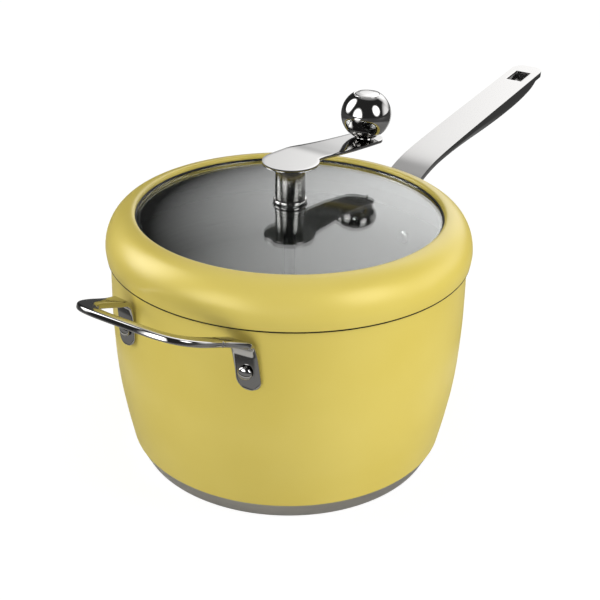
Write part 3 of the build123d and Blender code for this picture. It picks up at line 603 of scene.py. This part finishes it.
def strap_point(t, wide, deep):
    """A point of the strap: t from -1 to 1 between the ears' ends, wide from -1 to 1, deep in mm."""
    side = 1 if t > 0 else -1
    t = abs(t)
    turn_end = math.radians(63)
    if t < 0.5:
        angle = turn_end * t / 0.5
        outer = loop_edge(angle, strap_outer, strap_length)
        inner = loop_edge(angle, strap_inner, strap_length - 10.0)
        mixed = [o + (i - o) * (1 - wide) / 2 for o, i in zip(outer, inner)]
        return loop_foot + along * mixed[0] + Vector((0, side * mixed[1], 0)) - upright * deep
    s = (t - 0.5) / 0.5
    s = 1 - (1 - s) ** 2 if s > 0.9 else s * 1.1
    reach_out = ear_start + (ear_end - ear_start) * min(s, 1)
    x = fold_line + reach_out
    widen = min(max((24 - x) / 18, 0), 1) ** 1.74
    outer, inner = strap_outer + 6.0 * widen, strap_inner + 0.4 * widen
    left = reach_out - ear_end
    if left < end_round:
        narrow = end_round - math.sqrt(max(end_round ** 2 - (end_round - left) ** 2, 0))
        outer, inner = outer - narrow, inner + narrow
    across = (outer + inner) / 2 + (outer - inner) / 2 * wide
    straight = min(max((reach_out - 6) / 15.4, 0), 1)
    reach_out += straight * (across - ear_middle) * math.sin(ear_turn)
    return ear_point(reach_out, across, deep, side)


def strap_section(step, thick, round_in, corner=1.2):
    """One of 24 points round the strap's rounded section: its side, its inset there and its depth."""
    quarter, place = divmod(step % 24, 6)
    angle = math.pi / 2 * (quarter + place / 5)
    across = (1, -1, -1, 1)[quarter]
    rise = (thick / 2 - corner) * (1, 1, -1, -1)[quarter] + corner * math.sin(angle)
    return across, round_in * (1 - abs(math.cos(angle))), thick / 2 - rise


bm = bmesh.new()
bmesh.ops.create_grid(bm, x_segments=340, y_segments=24, size=1.0)
for vert in bm.verts:
    t = vert.co.x
    end_near = min(max((abs(t) - 0.6) / 0.15, 0), 1)
    step = round((vert.co.y + 1) * 12)
    x_sign, inset, deep = strap_section(step, 4.0 - end_near, 1.2 + 1.3 * end_near)
    half = 5.0 + 2.8 * min(max((abs(t) - 0.55) / 0.1, 0), 1)
    share = max(1 - inset / half, 0)
    vert.co = strap_point(t, x_sign * share, deep) * mm
bmesh.ops.remove_doubles(bm, verts=bm.verts, dist=1e-6)
bmesh.ops.holes_fill(bm, edges=[edge for edge in bm.edges if edge.is_boundary], sides=0)
bmesh.ops.rotate(bm, cent=(0, 0, 0), verts=bm.verts, matrix=Matrix.Rotation(loop_turn, 3, "Z"))
strap = keep(bm, "loop_strap", [mirror_steel], sharp=50)
put(strap, "pot", "helper_handle", slot="polished_steel")


def rivet_line(flange, gap):
    """Profile of a rivet from its head's top to its inner head; its flange starts at height 0."""
    head, back = 4.6, -flange - gap - 2.65
    shank = 4.2 if gap else 3.0
    turns = [i * math.pi / 20 for i in range(11)]
    dome = [(head * math.sin(a), 2.3 * math.cos(a)) for a in turns]
    middle = [(4.5, -0.05), (3.0, -0.05), (3.0, -flange), (shank, -flange), (shank, back + 1.9),
              (head, back + 1.9)]
    return dome + middle + [(head * math.cos(a), back - 1.6 * math.sin(a)) for a in turns]


def rivets(name, body, node, line, places):
    """Rivets at some places, each a spot and the way that its head points."""
    bm = bmesh.new()
    for spot, way in places:
        one = spun(line, 48, closed=False)
        grown = bpy.data.meshes.new(name)
        one.to_mesh(grown)
        one.free()
        before = len(bm.verts)
        bm.from_mesh(grown)
        bm.verts.ensure_lookup_table()
        bpy.data.meshes.remove(grown)
        place = Matrix.Translation(spot * mm) @ way.to_track_quat("Z", "Y").to_matrix().to_4x4()
        bmesh.ops.transform(bm, matrix=place, verts=bm.verts[before:])
    put(keep(bm, name, [mirror_steel], sharp=50), body, node, slot="polished_steel")


lean = math.radians(27)
rivet_down, ear_thick, wall_gap = 22.0, 3.0, 3.6
spin = Matrix.Rotation(loop_turn, 3, "Z")
spots = []
for side in (-1, 1):
    outward = folded(-30, side)[2]
    drop = outward * -math.sin(lean) - upright * math.cos(lean)
    face = outward * math.cos(lean) - upright * math.sin(lean)
    root = loop_foot + along * fold_line + Vector((0, side * ear_middle, 0))
    spot = root + drop * rivet_down + face * ear_thick
    flat = Vector((0, side * math.cos(ear_turn), 0)) - along * math.sin(ear_turn)
    middle = ear_middle + (loop_foot.z - spot.z) * math.tan(ear_splay)
    spot += flat * (middle - side * spot.y) / math.cos(ear_turn)
    spots.append((spin @ spot, spin @ face))
rivets("loop_rivets", "pot", "helper_handle_rivets", rivet_line(ear_thick, wall_gap), spots)

# ---------------------------------------------------------------------------------------------------
# Long handle. Two pressed steel shells: an upper channel that climbs from the pot with a hanging slot
# near its tip, and a boat-shaped lower shell tucked inside its edge. A bracket inside them is riveted
# through the pot's wall.

grip_start, grip_end = 138.0, 363.0
grip_points = [(0.0, 143.0), (9.0, 151.2), (22.05, 157.4), (42.08, 162.9), (81.9, 169.8),
               (152.1, 180.7), (225.0, 192.0)]
grip_curve = curve_through([(grip_start + x, z) for x, z in grip_points], 12)
slot_start, slot_end, slot_half = 330.0, 349.5, 6.8


def grip_top(x):
    """Height of the handle's top line at a distance from the pot's axis."""
    return height_on(grip_curve, x)


def grip_half(x):
    """Half width of the handle at a distance from the pot's axis."""
    return 14.2 - 0.7 * (x - grip_start) / (grip_end - grip_start)


def long_stations(first, last, gap):
    """Places along the handle, with the slot's two ends among them and closer toward the tip."""
    stations = [first + (slot_start - first) * i / gap for i in range(gap)]
    stations += [slot_start + (slot_end - slot_start) * i / 8 for i in range(8)]
    stations += [slot_end + (last - slot_end) * math.sin(i * math.pi / 24) for i in range(13)]
    return stations


def slot_faces(bm):
    """Faces of a handle shell that lie inside the slot."""
    inside = []
    for face in bm.faces:
        middle = face.calc_center_median() / mm
        if slot_start < middle.x < slot_end and abs(middle.y) < slot_half:
            inside.append(face)
    return inside


def pulled(bm, edges, rise=0.0):
    """Extends a shell at some of its border edges, straight up, and returns the new points."""
    grown = bmesh.ops.extrude_edge_only(bm, edges=edges)["geom"]
    verts = [g for g in grown if isinstance(g, bmesh.types.BMVert)]
    bmesh.ops.translate(bm, verts=verts, vec=(0, 0, rise * mm))
    return verts


slot_row = slot_half / 13.56
rows = [-1.0, -0.94, -0.8, -0.65, -slot_row, -0.4, -0.2, 0.0, 0.2, 0.4, slot_row, 0.65, 0.8, 0.94, 1.0]
tip_round = 9.0
stations = long_stations(grip_start, grip_end, 80)
handle_steel = polished_steel("stainless steel, polished handle", "#A6A5A4", 0.12)
bm = bmesh.new()
bmesh.ops.create_grid(bm, x_segments=len(stations) - 1, y_segments=len(rows) - 1, size=1.0)
for vert in bm.verts:
    x = stations[round((vert.co.x + 1) / 2 * (len(stations) - 1))]
    half = grip_half(x)
    near = max(x - (grip_end - tip_round), 0)
    half = half - tip_round + math.sqrt(max(tip_round ** 2 - near * near, 0))
    y = rows[round((vert.co.y + 1) / 2 * (len(rows) - 1))] * half
    vert.co = Vector((x, y, grip_top(x))) * mm
bmesh.ops.delete(bm, geom=slot_faces(bm), context="FACES")
outline = [e for e in bm.edges if e.is_boundary and not all(
    slot_start - 1 < v.co.x / mm < slot_end + 1 and abs(v.co.y / mm) < slot_half + 0.5 for v in e.verts)]
outline = [e for e in outline if not all(v.co.x / mm < grip_start + 0.1 for v in e.verts)]
pulled(bm, outline, -4.5)
shell = keep(bm, "handle_upper_shell", [handle_steel], sharp=50)
sheet(shell, 1.4)
edge = shell.modifiers.new("edge", "BEVEL")
edge.width = 1.1 * mm
edge.segments = 4
edge.limit_method = "ANGLE"
edge.angle_limit = math.radians(50)
put(shell, "pot", "long_handle_top", slot="polished_steel")

keel_start, keel_end = grip_end - 211.0, grip_end - 3.0
keel = [(211.0, 1.0, 5.5), (188.0, 1.0, 7.0), (158.0, 1.0, 8.2), (129.0, 1.0, 10.8),
        (100.0, 1.0, 13.8), (73.0, 1.0, 15.7), (45.0, 1.0, 16.4), (29.0, 1.0, 15.4),
        (17.0, 1.0, 13.0), (8.0, 0.88, 8.6), (3.0, 0.60, 4.0)]
keel_curve = curve_through([(grip_end - x, share, depth) for x, share, depth in keel], 8)


def keel_at(x):
    """The lower shell's share of the handle's width and its depth, at a distance from the axis."""
    for (xa, sa, da), (xb, sb, db) in zip(keel_curve, keel_curve[1:]):
        if x <= xb:
            t = (x - xa) / (xb - xa)
            return sa + (sb - sa) * t, da + (db - da) * t
    return keel_curve[-1][1:]


stations = long_stations(keel_start, keel_end, 64)
turns = [i / 24 for i in range(25)]
slot_turn = math.acos(slot_half / 12.2) / math.pi
turns[7], turns[17] = slot_turn, 1 - slot_turn
bm = bmesh.new()
bmesh.ops.create_grid(bm, x_segments=len(stations) - 1, y_segments=len(turns) - 1, size=1.0)
for vert in bm.verts:
    x = stations[round((vert.co.x + 1) / 2 * (len(stations) - 1))]
    angle = math.pi * turns[round((vert.co.y + 1) / 2 * (len(turns) - 1))]
    share, depth = keel_at(x)
    y = (grip_half(x) - 1.5) * share * math.cos(angle)
    vert.co = Vector((x, y, grip_top(x) - 4.5 - depth * math.sin(angle))) * mm
bmesh.ops.delete(bm, geom=slot_faces(bm), context="FACES")
border = [e for e in bm.edges if e.is_boundary]
mouth = [e for e in border if all(
    slot_start - 1 < v.co.x / mm < slot_end + 1 and abs(v.co.y / mm) < slot_half + 0.6
    and v.co.z / mm < grip_top(v.co.x / mm) - 6 for v in e.verts)]
for vert in pulled(bm, mouth):
    vert.co.z = (grip_top(vert.co.x / mm) - 1.5) * mm
sides = [e for e in border if e not in mouth
         and not all(v.co.x / mm < keel_start + 0.1 for v in e.verts)]
pulled(bm, sides, 2.4)
hull = keep(bm, "handle_lower_shell", [handle_steel], sharp=50)
sheet(hull, 1.2)
put(hull, "pot", "long_handle_underside", slot="polished_steel")

bracket_radius, bracket_height = 122.97, 117.5
bracket_spread = math.radians(10.7)
spots = []
for side in (-1, 1):
    way = Matrix.Rotation(side * bracket_spread, 3, "Z") @ Vector((1, 0, 0))
    spots.append((way * bracket_radius + Vector((0, 0, bracket_height)), way))
rivets("bracket_rivets", "pot", "long_handle_rivets", rivet_line(3.0, 0), spots)
dress("long_handle_bracket", plain_steel)

# ---------------------------------------------------------------------------------------------------
# Floor, light and camera. A plain white floor, soft lamps and the photograph's own viewpoint.

# The floor is white to the camera. Polished metal sees it by distance from the pot's axis: a middle
# grey, a light ring, a dark ring, then a grey that fades.
bm = bmesh.new()
bmesh.ops.create_circle(bm, cap_ends=True, segments=96, radius=6.0)
ground, tree, shader = surface("white studio floor")
place = add(tree, "ShaderNodeTexCoord")
away = add(tree, "ShaderNodeVectorMath", {"operation": "LENGTH"}, {0: place.outputs["Object"]})
near_edge, far_edge = 0.45, 0.85
pool = add(tree, "ShaderNodeMapRange",
           {"From Min": near_edge, "From Max": far_edge, "To Min": 0.30, "To Max": 0.05},
           {"Value": away.outputs["Value"]})
path = add(tree, "ShaderNodeLightPath")
greys = [(0.0, 0.42), (0.185, 0.42), (0.2, 0.9), (0.215, 0.9), (0.225, 0.03), (0.24, 0.06),
         (0.27, 0.3), (0.5, 0.3), (0.62, 0.05)]
rings = ramp(tree, away.outputs["Value"], [(far, (grey, grey, grey, 1)) for far, grey in greys])
tint = add(tree, "ShaderNodeMix", {"data_type": "RGBA"}, {"Factor": path.outputs["Is Glossy Ray"]})
tree.links.new(pool.outputs["Result"], tint.inputs[6])
tree.links.new(rings.outputs["Color"], tint.inputs[7])
tree.links.new(tint.outputs[2], shader.inputs["Base Color"])
shader.inputs["Roughness"].default_value = 0.9
shader.inputs["Specular IOR Level"].default_value = 0.0
seen = add(tree, "ShaderNodeMath", {"operation": "MAXIMUM"},
           {0: path.outputs["Is Camera Ray"], 1: path.outputs["Is Transmission Ray"]})
shine = add(tree, "ShaderNodeMath", {"operation": "MULTIPLY", 1: 0.05},
            {0: path.outputs["Is Glossy Ray"]})
lift = add(tree, "ShaderNodeMath", {"operation": "MAXIMUM"}, {0: seen.outputs[0], 1: shine.outputs[0]})
whiter = add(tree, "ShaderNodeMapRange",
             {"From Min": near_edge, "From Max": far_edge, "To Min": 0.82, "To Max": 1.0},
             {"Value": away.outputs["Value"]})
glow = add(tree, "ShaderNodeMath", {"operation": "MULTIPLY"},
           {0: lift.outputs[0], 1: whiter.outputs["Result"]})
shader.inputs["Emission Color"].default_value = (1, 1, 1, 1)
tree.links.new(glow.outputs[0], shader.inputs["Emission Strength"])
floor = keep(bm, "floor", [ground])


def toward(azimuth, elevation):
    """Direction in the room, from the long handle's side round over the far side, and up."""
    a, e = math.radians(azimuth), math.radians(elevation)
    return Vector((math.cos(a) * math.cos(e), math.sin(a) * math.cos(e), math.sin(e)))


# The room that polished metal and glass reflect: dark, with big soft cards that fade at their edges.
world = bpy.data.worlds.new("studio")
bpy.context.scene.world = world
world.use_nodes = True
tree = world.node_tree
sky = tree.nodes["Background"]
sky.inputs["Color"].default_value = (1, 1, 1, 1)
sky.inputs["Strength"].default_value = 0.43
place = add(tree, "ShaderNodeTexCoord")
level = add(tree, "ShaderNodeMath", {"operation": "ADD", 0: 0.035, 1: 0.0})
# Each card: where it hangs, its outer and inner half angle, its strength and its squeeze in height,
# below 1 for a tall card.
cards = [((10, 28), 36, 8, 2.5, 1), ((113, 29), 25, 2, 7.0, 0.7), ((172, 4), 25, 2, 6.0, 0.6),
         ((265, 28), 21, 2, 6.0, 0.7), ((322, 2), 30, 12, 1.6, 1), ((25, 65), 34, 12, 1.0, 1)]
for spot, outer, inner, strength, squeeze in cards:
    tall = add(tree, "ShaderNodeVectorMath", {"operation": "MULTIPLY", 1: (1, 1, squeeze)},
               {0: place.outputs["Generated"]})
    way = add(tree, "ShaderNodeVectorMath", {"operation": "NORMALIZE"}, {0: tall.outputs["Vector"]})
    middle = (Matrix.Diagonal((1, 1, squeeze)) @ toward(*spot)).normalized()
    near = add(tree, "ShaderNodeVectorMath", {"operation": "DOT_PRODUCT", 1: middle},
               {0: way.outputs["Vector"]})
    fade = add(tree, "ShaderNodeMapRange",
               {"interpolation_type": "SMOOTHSTEP" if squeeze < 1 else "LINEAR",
                "From Min": math.cos(math.radians(outer)), "From Max": math.cos(math.radians(inner)),
                "To Max": strength}, {"Value": near.outputs["Value"]})
    level = add(tree, "ShaderNodeMath", {"operation": "ADD"}, {0: level.outputs[0], 1: fade.outputs[0]})
room = add(tree, "ShaderNodeBackground", {"Strength": 1.0}, {"Color": level.outputs[0]})
path = add(tree, "ShaderNodeLightPath")
mirrored = add(tree, "ShaderNodeMixShader", None,
               {"Fac": path.outputs["Is Glossy Ray"], 1: sky.outputs[0], 2: room.outputs[0]})
white = add(tree, "ShaderNodeBackground", {"Color": (1, 1, 1, 1), "Strength": 1.0})
mix = add(tree, "ShaderNodeMixShader", None,
          {"Fac": path.outputs["Is Camera Ray"], 1: mirrored.outputs[0], 2: white.outputs[0]})
tree.links.new(mix.outputs[0], tree.nodes["World Output"].inputs["Surface"])


def lamp(name, spot, distance, size, power, aim=(0, 0, 0.09)):
    """A soft lamp that lights the pot but isn't itself seen in the metal."""
    light = bpy.data.lights.new(name, "AREA")
    light.shape = "RECTANGLE"
    light.size, light.size_y = size
    light.energy = power
    made = bpy.data.objects.new(name, light)
    bpy.context.scene.collection.objects.link(made)
    made.location = Vector(aim) + toward(*spot) * distance
    made.rotation_euler = (-toward(*spot)).to_track_quat("-Z", "Y").to_euler()
    made.visible_glossy = False


lamp("softbox_left", (125, 18), 1.5, (0.8, 0.8), 8)
lamp("softbox_front", (207, 3), 1.6, (1.2, 0.5), 11.5)
lamp("softbox_right", (293, 12), 1.5, (0.8, 0.8), 14)
lamp("softbox_top", (0, 90), 1.7, (1.2, 1.2), 2)

camera = bpy.data.cameras.new("camera")
camera.lens = 69.17
camera.sensor_width = 36
eye = bpy.data.objects.new("camera", camera)
bpy.context.scene.collection.objects.link(eye)
right = Vector((0.58137, -0.81342, 0.01903))
up = Vector((0.35889, 0.27735, 0.89122))
forward = Vector((0.73021, 0.5113, -0.45317))
turn = Matrix((right, up, -forward)).transposed().to_4x4()
eye.matrix_world = Matrix.Translation((-0.57775, -0.41422, 0.46703)) @ turn
bpy.context.scene.camera = eye
bpy.context.scene.view_settings.view_transform = "Standard"
